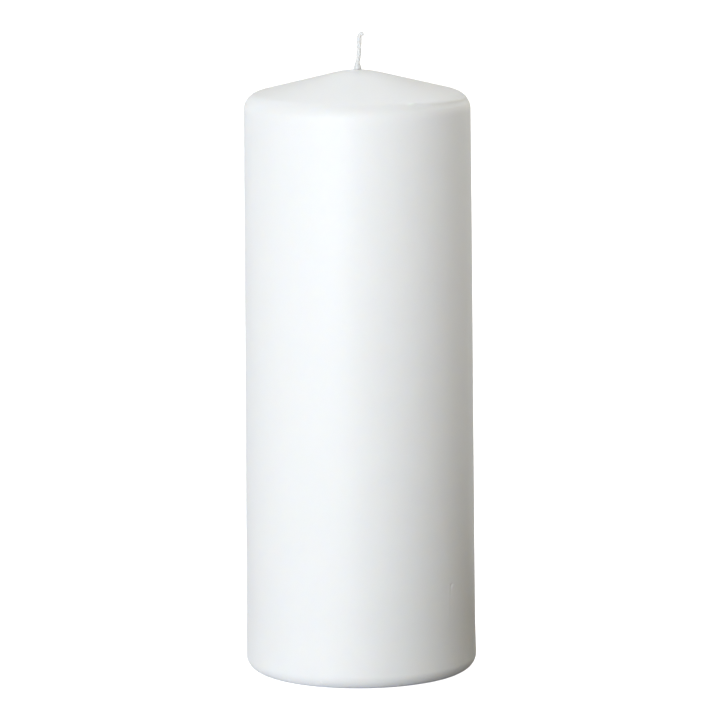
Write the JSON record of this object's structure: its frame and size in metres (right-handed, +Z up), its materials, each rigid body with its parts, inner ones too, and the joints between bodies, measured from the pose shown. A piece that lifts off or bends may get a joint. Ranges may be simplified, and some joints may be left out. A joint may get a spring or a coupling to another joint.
{
  "type": "unity candle",
  "caption": "Tall plain white unity pillar candle with a low conical top, a rounded shoulder and a short hooked wick, dipped in a hard wax coat over a pressed core.",
  "frame": {"origin": "centre of the base, on the surface that the candle stands on", "axes": "+Z up along the candle; the hooked tip of the wick turns over towards +X, and -Y is the side that faces the viewer"},
  "size_m": [0.0762, 0.0762, 0.2111],
  "materials": {
    "pressed_wax": "matt, granular pressed paraffin",
    "dipped_wax": "satin, translucent overdipped paraffin",
    "wick_cotton": "braided cotton",
    "wick_wax": "thin, waxy and slightly glossy",
    "tinplate": "bright rolled tinplate",
    "poured_wax": "smooth poured wax, slightly sunk"
  },
  "bodies": {
    "root": {"pressed_core": "pressed_wax", "outer_coat": "dipped_wax", "wick_strand_1": "wick_cotton", "wick_strand_2": "wick_cotton", "wick_strand_3": "wick_cotton", "wick_wax_sheath": "wick_wax", "wick_sustainer": "tinplate", "base_seal": "poured_wax"}
  },
  "joints": []
}
